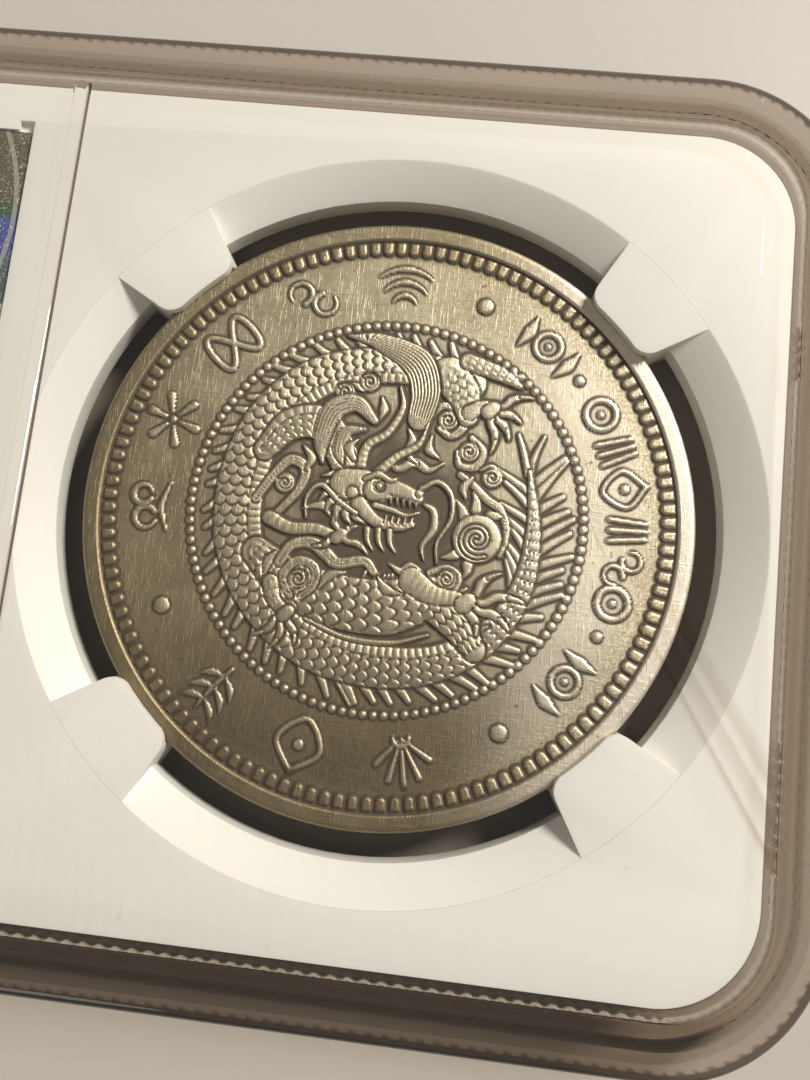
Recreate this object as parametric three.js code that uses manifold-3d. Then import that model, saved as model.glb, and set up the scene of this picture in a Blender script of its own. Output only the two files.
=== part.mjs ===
// A sealed display slab for one graded coin: two clear shells welded at their rims, a white core between
// them whose four prongs hold the coin by its edge, and a label with a foil patch on each side.
// Millimetres. X is the slab's width, Y its length with the labels at +Y, Z its thickness with the front up.
// The origin is the middle of the rear face that the slab lies on.
import * as THREE from 'three';
import { mergeVertices } from 'three/addons/utils/BufferGeometryUtils.js';
import Module from 'manifold-3d';

const wasm = await Module();
wasm.setup();

// Driving dimensions.
const slabWidth = 59.7;
const slabLength = 85.7;
const slabCorner = 9.5; // outline's corner radius
const edgeRound = 0.7; // rounding of the slab's outer edges
const rimWidth = 3.4; // raised rim round the window
const paneRecess = 0.5; // how far the window lies below the rim
const paneThickness = 1.05;
const ribWidth = 1.05; // bar on the window between label and coin
const ribHeight = 0.3;
const ribFromCoin = 22.85; // coin's centre to the bar's centre line

const seamGap = 0.1; // between the shells' meeting faces
const tongueInset = 1.25; // outer edge to the groove
const grooveWidth = 0.9;
const grooveDepth = 1.9;
const tongueClearance = 0.1;

const coreThickness = 4.7;
const coreClearance = 0.1; // core to shells, all round

const coinDiameter = 38.1;
const coinThickness = 2.6; // over the rims
const coinRimWidth = 1.15;
const coinFieldDrop = 0.3; // rim down to the field
const coinEdgeBreak = 0.12;
const coinFromBottom = 27.25; // coin's centre to the slab's bottom edge
const coinClearance = 0.1; // coin to the prongs' grooves

const holeClearance = 1.7; // open ring between coin and core
const slopeWidth = 2.4; // bevel round the hole, measured along the face
const slopeDepth = 1.35;
const prongCount = 4;
const prongFirstAngle = 45; // degrees from +X
const prongRootWidth = 7.6;
const prongTipWidth = 4.9;
const prongTipRound = 0.8;
const prongOverlap = 0.35; // how far a prong's lip covers the coin's rim

const labelFromRib = 3.15; // bar's centre line to the label recess
const labelEndBorder = 2.2; // label recess to the core's top edge
const labelSideBorder = 3.2; // label recess to the core's long edges
const labelRecess = 0.6;
const labelClearance = 0.1;
const labelThickness = 0.25;
const notchLength = 1.0; // relief notch at each corner of a label recess
const notchReach = 0.65;
const foilWidth = 11.9;
const foilThickness = 0.05;
const foilGap = 0.02; // glue line under a foil

// Worked out from the above.
const slabThickness = coreThickness + 2 * (coreClearance + paneThickness + paneRecess);
const middle = slabThickness / 2;
const coreInset = rimWidth + 0.05 + coreClearance;
const coreWidth = slabWidth - 2 * coreInset;
const coreLength = slabLength - 2 * coreInset;
const coreCorner = slabCorner - coreInset;
const coreRear = middle - coreThickness / 2;
const coreFront = middle + coreThickness / 2;
const coinRadius = coinDiameter / 2;
const coinY = coinFromBottom - slabLength / 2;
const holeRadius = coinRadius + holeClearance;
const ribY = coinY + ribFromCoin;
const labelBottom = ribY + labelFromRib;
const labelTop = coreLength / 2 - labelEndBorder;
const labelHalfWidth = coreWidth / 2 - labelSideBorder;

const arcSteps = 10; // segments in each rounded corner
const roundSteps = 96; // segments in each full circle, a multiple of the prong count
const through = 1; // how far a cutter runs past the face it opens

// Outline of a rectangle from (x0, y0) to (x1, y1) with rounded corners.
function roundedBox(x0, y0, x1, y1, radius) {
  const shape = new THREE.Shape();
  shape.absarc(x1 - radius, y1 - radius, radius, 0, Math.PI / 2);
  shape.absarc(x0 + radius, y1 - radius, radius, Math.PI / 2, Math.PI);
  shape.absarc(x0 + radius, y0 + radius, radius, Math.PI, 1.5 * Math.PI);
  shape.absarc(x1 - radius, y0 + radius, radius, 1.5 * Math.PI, 2 * Math.PI);
  shape.closePath();
  return shape;
}

// The slab's outline moved in from its outer edge.
function slabOutline(inset) {
  const halfWidth = slabWidth / 2 - inset;
  const halfLength = slabLength / 2 - inset;
  return roundedBox(-halfWidth, -halfLength, halfWidth, halfLength, slabCorner - inset);
}

function prism(shape, low, high) {
  const options = { depth: high - low, bevelEnabled: false, curveSegments: arcSteps };
  return new THREE.ExtrudeGeometry(shape, options).translate(0, 0, low);
}

function block(x0, x1, y0, y1, z0, z1) {
  const box = new THREE.BoxGeometry(x1 - x0, y1 - y0, z1 - z0);
  return box.translate((x0 + x1) / 2, (y0 + y1) / 2, (z0 + z1) / 2);
}

// A solid of revolution about the coin's axis, from [radius, height] points that start and end on the axis.
function turned(profile) {
  const points = profile.map(([r, z]) => new THREE.Vector2(r, z));
  return new THREE.LatheGeometry(points, roundSteps).rotateX(Math.PI / 2).translate(0, coinY, 0);
}

// A closed geometry as a solid that can be joined and cut.
function solid(geometry) {
  const bare = geometry.index ? geometry.toNonIndexed() : geometry.clone();
  bare.deleteAttribute('normal');
  bare.deleteAttribute('uv');
  const merged = mergeVertices(bare, 1e-4);
  const made = new wasm.Manifold(new wasm.Mesh({
    numProp: 3,
    vertProperties: merged.attributes.position.array,
    triVerts: new Uint32Array(merged.index.array),
  }));
  if (made.volume() < 0) throw new Error('a profile runs the wrong way round');
  return made;
}

function geometryOf(made) {
  const mesh = made.getMesh();
  const geometry = new THREE.BufferGeometry();
  geometry.setAttribute('position', new THREE.BufferAttribute(mesh.vertProperties, 3));
  geometry.setIndex(new THREE.BufferAttribute(mesh.triVerts, 1));
  geometry.computeVertexNormals();
  return geometry;
}

function piece(name, made, color, roughness, metalness, opacity = 1) {
  const material = new THREE.MeshStandardMaterial({ color, roughness, metalness, opacity });
  material.transparent = opacity < 1;
  const mesh = new THREE.Mesh(geometryOf(made), material);
  mesh.name = name;
  return mesh;
}

// The whole slab with rounded outer edges, before it is split into shells.
function slabBlock() {
  const options = {
    depth: slabThickness - 2 * edgeRound,
    bevelEnabled: true,
    bevelThickness: edgeRound,
    bevelSize: edgeRound,
    bevelSegments: 4,
    curveSegments: arcSteps,
  };
  return new THREE.ExtrudeGeometry(slabOutline(edgeRound), options).translate(0, 0, edgeRound);
}

// A shell made as the front one: rim, recessed window with its bar, and the pocket for half of the core.
function frontHalf(seamFace) {
  const half = block(-slabWidth, slabWidth, -slabLength, slabLength, seamFace, slabThickness + through);
  const window = prism(slabOutline(rimWidth), slabThickness - paneRecess, slabThickness + through);
  const pocket = prism(slabOutline(rimWidth + 0.05), seamFace - through, coreFront + coreClearance);
  const ribTop = slabThickness - paneRecess + ribHeight;
  const ribHalf = slabWidth / 2 - rimWidth / 2;
  const rib = block(-ribHalf, ribHalf, ribY - ribWidth / 2, ribY + ribWidth / 2, ribTop - ribHeight - 0.3, ribTop);
  return solid(slabBlock()).intersect(solid(half)).subtract(solid(window)).subtract(solid(pocket)).add(solid(rib));
}

// A ring that follows the slab's outline between two insets.
function outlineRing(outerInset, innerInset, low, high) {
  const inner = prism(slabOutline(innerInset), low - through, high + through);
  return solid(prism(slabOutline(outerInset), low, high)).subtract(solid(inner));
}

function frontShell() {
  const seam = middle + seamGap / 2;
  const groove = outlineRing(tongueInset, tongueInset + grooveWidth, seam - through, seam + grooveDepth);
  return frontHalf(seam).subtract(groove);
}

function rearShell() {
  const seam = middle - seamGap / 2;
  const tongueTop = middle + seamGap / 2 + grooveDepth - tongueClearance;
  const outer = tongueInset + tongueClearance;
  const inner = tongueInset + grooveWidth - tongueClearance;
  const tongue = outlineRing(outer, inner, seam - through, tongueTop);
  const half = frontHalf(slabThickness - seam);
  return turnedOver(half).add(tongue);
}

// A solid mirrored in the slab's middle plane, so that what faced the front faces the rear.
function turnedOver(made) {
  const mesh = made.getMesh();
  const positions = new Float32Array(mesh.vertProperties);
  for (let i = 2; i < positions.length; i += 3) positions[i] = slabThickness - positions[i];
  const faces = new Uint32Array(mesh.triVerts);
  for (let i = 0; i < faces.length; i += 3) [faces[i + 1], faces[i + 2]] = [faces[i + 2], faces[i + 1]];
  return new wasm.Manifold(new wasm.Mesh({ numProp: 3, vertProperties: positions, triVerts: faces }));
}

// One prong's outline, pointing from the core along +X to the coin, with its tip's corners rounded.
function prongOutline() {
  const root = holeRadius + slopeWidth + 0.6;
  const tip = coinRadius - prongOverlap - 0.5;
  const lean = (prongRootWidth - prongTipWidth) / 2 / (holeRadius + slopeWidth - tip);
  const rootHalf = prongTipWidth / 2 + lean * (root - tip);
  const tipHalf = prongTipWidth / 2;
  const roundAt = tip + 0.5 + prongTipRound;
  const roundHalf = tipHalf + lean * (roundAt - tip);
  const shape = new THREE.Shape();
  shape.moveTo(root, rootHalf);
  shape.lineTo(roundAt, roundHalf);
  shape.quadraticCurveTo(tip + 0.5, tipHalf + lean * 0.5, tip + 0.4, tipHalf - prongTipRound);
  shape.lineTo(tip, tipHalf - prongTipRound);
  shape.lineTo(tip, prongTipRound - tipHalf);
  shape.lineTo(tip + 0.4, prongTipRound - tipHalf);
  shape.quadraticCurveTo(tip + 0.5, -tipHalf - lean * 0.5, roundAt, -roundHalf);
  shape.lineTo(root, -rootHalf);
  shape.closePath();
  return shape;
}

function labelPocket(face, outward) {
  const floor = face - outward * labelRecess;
  const beyond = face + outward * through;
  const low = Math.min(floor, beyond);
  const high = Math.max(floor, beyond);
  let pocket = solid(block(-labelHalfWidth, labelHalfWidth, labelBottom, labelTop, low, high));
  for (const side of [-1, 1]) {
    for (const [y0, y1] of [[labelBottom, labelBottom + notchLength], [labelTop - notchLength, labelTop]]) {
      const edge = side * (labelHalfWidth - notchReach);
      const reach = side * (labelHalfWidth + notchReach);
      pocket = pocket.add(solid(block(Math.min(edge, reach), Math.max(edge, reach), y0, y1, low, high)));
    }
  }
  return pocket;
}

function core() {
  const halfWidth = coreWidth / 2;
  const halfLength = coreLength / 2;
  const outline = roundedBox(-halfWidth, -halfLength, halfWidth, halfLength, coreCorner);
  const lean = slopeWidth / slopeDepth;
  const mouth = holeRadius + slopeWidth + lean * through;
  const hole = turned([
    [0, coreRear - through],
    [mouth, coreRear - through],
    [holeRadius, coreRear + slopeDepth],
    [holeRadius, coreFront - slopeDepth],
    [mouth, coreFront + through],
    [0, coreFront + through],
  ]);
  let made = solid(prism(outline, coreRear, coreFront)).subtract(solid(hole));
  for (let i = 0; i < prongCount; i++) {
    const turn = THREE.MathUtils.degToRad(prongFirstAngle + (i * 360) / prongCount);
    const prong = prism(prongOutline(), coreRear, coreFront).rotateZ(turn).translate(0, coinY, 0);
    made = made.add(solid(prong));
  }
  // What the coin needs: a way through between the lips, and a groove that takes its edge.
  const mouthRadius = coinRadius - prongOverlap;
  const mouthCut = turned([
    [0, coreRear - through],
    [mouthRadius, coreRear - through],
    [mouthRadius, coreFront + through],
    [0, coreFront + through],
  ]);
  const grooveRadius = coinRadius + coinClearance;
  const grooveHalf = coinThickness / 2 + coinClearance;
  const grooveCut = turned([
    [0, middle - grooveHalf],
    [grooveRadius, middle - grooveHalf],
    [grooveRadius, middle + grooveHalf],
    [0, middle + grooveHalf],
  ]);
  made = made.subtract(solid(mouthCut)).subtract(solid(grooveCut));
  return made.subtract(labelPocket(coreFront, 1)).subtract(labelPocket(coreRear, -1));
}

function coin() {
  const half = coinThickness / 2;
  const field = half - coinFieldDrop;
  const rimInner = coinRadius - coinRimWidth;
  return solid(turned([
    [0, middle - field],
    [rimInner - coinFieldDrop / 2, middle - field],
    [rimInner, middle - half],
    [coinRadius - coinEdgeBreak, middle - half],
    [coinRadius, middle - half + coinEdgeBreak],
    [coinRadius, middle + half - coinEdgeBreak],
    [coinRadius - coinEdgeBreak, middle + half],
    [rimInner, middle + half],
    [rimInner - coinFieldDrop / 2, middle + field],
    [0, middle + field],
  ]));
}

// The card in the front (outward 1) or rear (outward -1) recess, and the foil on its right-hand end.
function labelCard(face, outward) {
  const under = face - outward * (labelRecess - labelClearance / 2);
  const over = under + outward * labelThickness;
  const half = labelHalfWidth - labelClearance;
  const y0 = labelBottom + labelClearance;
  const y1 = labelTop - labelClearance;
  return solid(block(-half, half, y0, y1, Math.min(under, over), Math.max(under, over)));
}

function labelFoil(face, outward) {
  const under = face - outward * (labelRecess - labelClearance / 2 - labelThickness - foilGap);
  const over = under + outward * foilThickness;
  const outerEnd = outward * (labelHalfWidth - labelClearance);
  const innerEnd = outerEnd - outward * foilWidth;
  const y0 = labelBottom + labelClearance;
  const y1 = labelTop - labelClearance;
  const x0 = Math.min(outerEnd, innerEnd);
  return solid(block(x0, x0 + foilWidth, y0, y1, Math.min(under, over), Math.max(under, over)));
}

const slab = new THREE.Group();
slab.add(piece('rear_shell', rearShell(), 0xf2efe9, 0.05, 0, 0.35));
slab.add(piece('front_shell', frontShell(), 0xf2efe9, 0.05, 0, 0.35));
slab.add(piece('core', core(), 0xe4dcc8, 0.55, 0));
slab.add(piece('front_label', labelCard(coreFront, 1), 0xe9e5da, 0.7, 0));
slab.add(piece('rear_label', labelCard(coreRear, -1), 0xe9e5da, 0.7, 0));
slab.add(piece('front_foil', labelFoil(coreFront, 1), 0x8a8458, 0.25, 0.8));
slab.add(piece('rear_foil', labelFoil(coreRear, -1), 0x8a8458, 0.25, 0.8));

const coinGroup = new THREE.Group();
coinGroup.add(piece('coin', coin(), 0x9a8d72, 0.35, 0.95));
slab.add(coinGroup);

export default slab;
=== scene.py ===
# Looks of a graded coin slab: clear welded case, white pronged core, foil labels and a struck silver coin.
import math

import bmesh
import bpy
import numpy as np
from mathutils import Matrix, Vector


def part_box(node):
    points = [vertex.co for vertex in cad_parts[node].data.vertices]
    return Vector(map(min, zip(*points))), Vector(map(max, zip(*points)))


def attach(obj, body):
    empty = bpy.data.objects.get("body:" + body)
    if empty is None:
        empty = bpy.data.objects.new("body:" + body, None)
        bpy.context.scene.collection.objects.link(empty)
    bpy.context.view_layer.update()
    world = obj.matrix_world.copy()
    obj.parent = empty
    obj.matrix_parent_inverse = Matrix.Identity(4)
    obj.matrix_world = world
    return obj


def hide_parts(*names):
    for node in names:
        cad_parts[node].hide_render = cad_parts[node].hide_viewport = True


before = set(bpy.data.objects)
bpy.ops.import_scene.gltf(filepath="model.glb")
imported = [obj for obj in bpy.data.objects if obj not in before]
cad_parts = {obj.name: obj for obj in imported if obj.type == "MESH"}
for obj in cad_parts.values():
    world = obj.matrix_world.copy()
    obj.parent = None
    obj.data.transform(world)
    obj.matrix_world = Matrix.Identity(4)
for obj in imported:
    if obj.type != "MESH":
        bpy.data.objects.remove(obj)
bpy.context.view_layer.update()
mm = 0.001
rng = np.random.default_rng(7)

caseLow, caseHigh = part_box("front_shell")
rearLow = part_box("rear_shell")[0]
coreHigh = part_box("core")[1]
coinLow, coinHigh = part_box("coin")
coinMiddle = (coinLow + coinHigh) / 2
coinRadius = (coinHigh.x - coinLow.x) / 2 / mm
coinDrop = 0.3  # mm, how far the coin's field lies under its rim
print("frame loaded", len(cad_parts), "nodes")


def addObject(name, data):
    made = bpy.data.objects.new(name, data)
    bpy.context.scene.collection.objects.link(made)
    return made


def polar(reach, turn, x=0.0, y=0.0):
    # the point at this distance and direction from x, y
    return x + reach * math.cos(turn), y + reach * math.sin(turn)


class Wire:
    # an output socket that can be used in sums
    def __init__(self, paint, socket):
        self.paint = paint
        self.socket = socket

    def __add__(self, other):
        return self.paint.sum("ADD", self, other)

    def __radd__(self, other):
        return self.paint.sum("ADD", other, self)

    def __sub__(self, other):
        return self.paint.sum("SUBTRACT", self, other)

    def __rsub__(self, other):
        return self.paint.sum("SUBTRACT", other, self)

    def __mul__(self, other):
        return self.paint.sum("MULTIPLY", self, other)

    def __rmul__(self, other):
        return self.paint.sum("MULTIPLY", other, self)

    def __truediv__(self, other):
        return self.paint.sum("DIVIDE", self, other)

    def __rtruediv__(self, other):
        return self.paint.sum("DIVIDE", other, self)

    def __pow__(self, other):
        return self.paint.sum("POWER", self, other)


class Paint:
    # one material and the nodes in it
    def __init__(self, name):
        self.material = bpy.data.materials.new(name)
        self.material.use_nodes = True
        self.tree = self.material.node_tree
        self.tree.nodes.clear()

    def node(self, kind, settings=None, inputs=None, output=0):
        made = self.tree.nodes.new("ShaderNode" + kind)
        for key, value in (settings or {}).items():
            setattr(made, key, value)
        for key, value in (inputs or {}).items():
            socket = made.inputs[key]
            if isinstance(value, Wire):
                self.tree.links.new(value.socket, socket)
            else:
                socket.default_value = (*value, 1.0) if socket.type == "RGBA" else value
        return Wire(self, made.outputs[output]) if made.outputs else None

    def sum(self, operation, first, second):
        return self.node("Math", {"operation": operation}, {0: first, 1: second})

    def larger(self, first, second):
        return self.sum("MAXIMUM", first, second)

    def ramp(self, value, low, high):
        # 0 at low, 1 at high and softly between, held at both ends
        inputs = {"Value": value, "From Min": low, "From Max": high}
        return self.node("MapRange", {"interpolation_type": "SMOOTHSTEP"}, inputs)

    def blend(self, amount, first, second):
        # from the first colour to the second
        return self.node("Mix", {"data_type": "RGBA"}, {0: amount, 6: first, 7: second}, output=2)

    def away(self, value):
        # the size of a number without its sign
        return self.sum("ABSOLUTE", value, 0.0)

    def place(self):
        return self.node("TexCoord", output="Object")

    def noise(self, where, scale, detail, rough=0.5, warp=0.0):
        inputs = {"Vector": where, "Scale": scale, "Detail": detail, "Roughness": rough, "Distortion": warp}
        return self.node("TexNoise", None, inputs)

    def attribute(self, name):
        return self.node("Attribute", {"attribute_name": name}, output="Fac")

    def bump(self, height, distance, strength):
        return self.node("Bump", None, {"Height": height, "Distance": distance, "Strength": strength})

    def stretched(self, where, scale, turn):
        inputs = {"Vector": where, "Scale": scale, "Rotation": (0.0, 0.0, turn)}
        return self.node("Mapping", None, inputs)

    def split(self, vector, axis):
        return self.node("SeparateXYZ", None, {"Vector": vector}, output=axis)

    def fromCoin(self, where):
        # distance from the coin's axis
        out = self.node("VectorMath", {"operation": "SUBTRACT"}, {0: where, 1: tuple(coinMiddle)})
        x = self.split(out, "X")
        y = self.split(out, "Y")
        return (x * x + y * y) ** 0.5

    def finish(self, surface, volume=None):
        ends = {"Surface": surface}
        if volume:
            ends["Volume"] = volume
        self.node("OutputMaterial", None, ends)
        return self.material


stage = {
    "eyeFromCoin": (-6.91, -3.69, 45.68),  # mm, from the coin's centre at the height of the core's face
    "sight": (0.118, 0.0489, -0.9918),
    "pictureRight": (0.1082, -0.9935, -0.0361),
    "lens": 25.0,
    "floorColour": (0.47, 0.425, 0.37),
    "floorSize": 3.0,
    "worldColour": (1.0, 0.98, 0.94),
    "worldStrength": 0.25,
    "keyFrom": (0.27, -0.31, 0.38),
    "keySize": 0.16,
    "keyPower": 4.3,
    "keyColour": (1.0, 0.985, 0.95),
    "fillFrom": (-0.55, 0.30, 0.45),
    "fillSize": 0.26,
    "fillPower": 0.25,
    "fillColour": (1.0, 0.95, 0.88),
}


def addCamera():
    sight = Vector(stage["sight"]).normalized()
    right = Vector(stage["pictureRight"])
    right = (right - sight * right.dot(sight)).normalized()
    up = right.cross(sight)
    faceCentre = Vector((coinMiddle.x, coinMiddle.y, coreHigh.z))
    eye = faceCentre + Vector(stage["eyeFromCoin"]) * mm
    camera = addObject("camera", bpy.data.cameras.new("camera"))
    camera.matrix_world = Matrix((
        (right.x, up.x, -sight.x, eye.x),
        (right.y, up.y, -sight.y, eye.y),
        (right.z, up.z, -sight.z, eye.z),
        (0, 0, 0, 1),
    ))
    camera.data.lens = stage["lens"]
    camera.data.clip_start = 0.001
    bpy.context.scene.camera = camera


def addLamp(name, position, size, power, colour):
    lamp = bpy.data.lights.new(name, "AREA")
    lamp.shape = "DISK"
    lamp.size = size
    lamp.energy = power
    lamp.color = colour
    holder = addObject(name, lamp)
    holder.location = position
    aim = coinMiddle - Vector(position)
    holder.rotation_euler = aim.to_track_quat("-Z", "Y").to_euler()


def addFloor():
    paint = Paint("paleTable")
    where = paint.place()
    clouds = paint.noise(where, 9.0, 4.0)
    grain = paint.noise(where, 900.0, 2.0)
    warm = stage["floorColour"]
    cool = tuple(c * 0.94 for c in warm)
    colour = paint.blend(paint.ramp(clouds, 0.3, 0.7), warm, cool)
    normal = paint.bump(grain, 0.00004, 0.4)
    inputs = {"Base Color": colour, "Roughness": 0.6, "Normal": normal}
    body = paint.node("BsdfPrincipled", None, inputs)
    half = stage["floorSize"] / 2
    mesh = bpy.data.meshes.new("floor")
    corners = [(-half, -half, 0), (half, -half, 0), (half, half, 0), (-half, half, 0)]
    mesh.from_pydata(corners, [], [(0, 1, 2, 3)])
    mesh.materials.append(paint.finish(body))
    floor = addObject("floor", mesh)


def addWorld():
    world = bpy.data.worlds.new("softRoom")
    world.use_nodes = True
    background = world.node_tree.nodes["Background"]
    background.inputs["Color"].default_value = (*stage["worldColour"], 1.0)
    background.inputs["Strength"].default_value = stage["worldStrength"]
    bpy.context.scene.world = world


addCamera()
addFloor()
addWorld()
addLamp("keyLight", stage["keyFrom"], stage["keySize"], stage["keyPower"], stage["keyColour"])
addLamp("fillLight", stage["fillFrom"], stage["fillSize"], stage["fillPower"], stage["fillColour"])
bpy.context.scene.view_settings.view_transform = "Standard"
print("camera, floor and lights set")


clearLook = {
    "window": (0.97, 0.965, 0.955),
    # the next two are painted shade: a brown over the rim and a near-black line along the outer edges
    "edge": (0.52, 0.40, 0.30),
    "paintedDarkLine": (0.03, 0.02, 0.016),
    "shadowTint": (0.94, 0.93, 0.915),
    "depthTint": (0.60, 0.49, 0.38),
    "depthDensity": 70.0,
    "indexOfRefraction": 1.585,
}


def clearPlastic():
    paint = Paint("clearPolystyrene")
    where = paint.place()
    smear = paint.ramp(paint.noise(where, 70.0, 4.0, 0.6, 0.6), 0.52, 0.75)
    lines = paint.noise(paint.stretched(where, (60.0, 4000.0, 60.0), 0.7), 1.0, 2.0)
    scratches = paint.ramp(lines, 0.70, 0.76)
    rough = 0.015 + 0.05 * smear + 0.12 * scratches
    normal = paint.bump(scratches, 0.000004, 0.3)
    # painted shade: the moulded edges, seam teeth and bar sides are painted darker and browner than the
    # flat windows, in place of the dark reflections and the shade seen through the thick plastic
    shade = paint.attribute("paintedEdgeShade")
    colour = paint.blend(paint.ramp(shade, 0.0, 0.5), clearLook["window"], clearLook["edge"])
    colour = paint.blend(paint.ramp(shade, 0.55, 1.0), colour, clearLook["paintedDarkLine"])
    inputs = {
        "Base Color": colour,
        "Roughness": rough,
        "IOR": clearLook["indexOfRefraction"],
        "Transmission Weight": 1.0,
        "Normal": normal,
    }
    glass = paint.node("BsdfPrincipled", None, inputs)
    through = paint.node("BsdfTransparent", None, {"Color": clearLook["shadowTint"]})
    ray = paint.node("LightPath", output="Is Shadow Ray")
    diffuse = paint.node("LightPath", output="Is Diffuse Ray")
    glossy = paint.node("LightPath", output="Is Glossy Ray")
    passes = paint.larger(ray, paint.larger(diffuse, glossy))
    # the thicker the plastic, the more it browns what is seen through it
    tint = {"Color": clearLook["depthTint"], "Density": clearLook["depthDensity"]}
    depth = paint.node("VolumeAbsorption", None, tint)
    return paint.finish(paint.node("MixShader", None, {0: passes, 1: glass, 2: through}), depth)


coreShape = {
    "plastic": (0.89, 0.885, 0.84),
    "plasticPatch": (0.87, 0.865, 0.82),
    "fleck": (0.62, 0.57, 0.49),
    "jointLine": (0.45, 0.41, 0.35),
    "edgeRound": 0.15,
    "roundSteps": 4,
    "witnessRadius": 23.15,
    "witnessWidth": 0.05,
}


def corePlastic():
    paint = Paint("whiteCorePlastic")
    where = paint.place()
    patches = paint.ramp(paint.noise(where, 120.0, 4.0, 0.6), 0.35, 0.7)
    fine = paint.noise(where, 2600.0, 3.0, 0.6)
    colour = paint.blend(patches, coreShape["plastic"], coreShape["plasticPatch"])
    flecks = paint.ramp(paint.noise(where, 900.0, 2.0), 0.72, 0.78)
    colour = paint.blend(flecks * 0.25, colour, coreShape["fleck"])
    # the insert's joint line round the hole
    past = paint.fromCoin(where) - coreShape["witnessRadius"] * mm
    wide = coreShape["witnessWidth"] * mm
    line = paint.ramp(past, -wide, 0.0) - paint.ramp(past, 0.0, wide)
    colour = paint.blend(line * 0.35, colour, coreShape["jointLine"])
    rough = 0.42 + 0.12 * fine
    normal = paint.bump(fine - 2.0 * line, 0.000012, 0.35)
    inputs = {
        "Base Color": colour,
        "Roughness": rough,
        "Subsurface Weight": 0.25,
        "Subsurface Radius": (1.0, 0.8, 0.6),
        "Subsurface Scale": 0.0012,
        "IOR": 1.46,
        "Normal": normal,
    }
    return paint.finish(paint.node("BsdfPrincipled", None, inputs))


silverTone = {
    "worn": (0.74, 0.68, 0.51),
    "pale": (0.85, 0.785, 0.61),
    "paintedShadeLowerLeft": (0.37, 0.30, 0.17),
    "paintedShadeBottom": (0.17, 0.135, 0.08),
    "paintedShadeTop": (0.44, 0.365, 0.22),
    "bloom": (0.35, 0.29, 0.17),
    "paintedLightRight": (0.97, 0.90, 0.77),
    "proud": (0.87, 0.80, 0.63),
    "rimGrimeAndShade": (0.32, 0.26, 0.155),
    "paintedRimHighlight": (0.95, 0.89, 0.78),
    "goldDark": (0.30, 0.22, 0.10),
    "goldLight": (0.88, 0.78, 0.50),
    "tarnish": (0.050, 0.034, 0.020),
    "tarnishPale": (0.13, 0.095, 0.06),
    "spot": (0.16, 0.12, 0.08),
    "roughness": 0.49,
    "bumpDistance": 0.000008,
}


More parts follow.
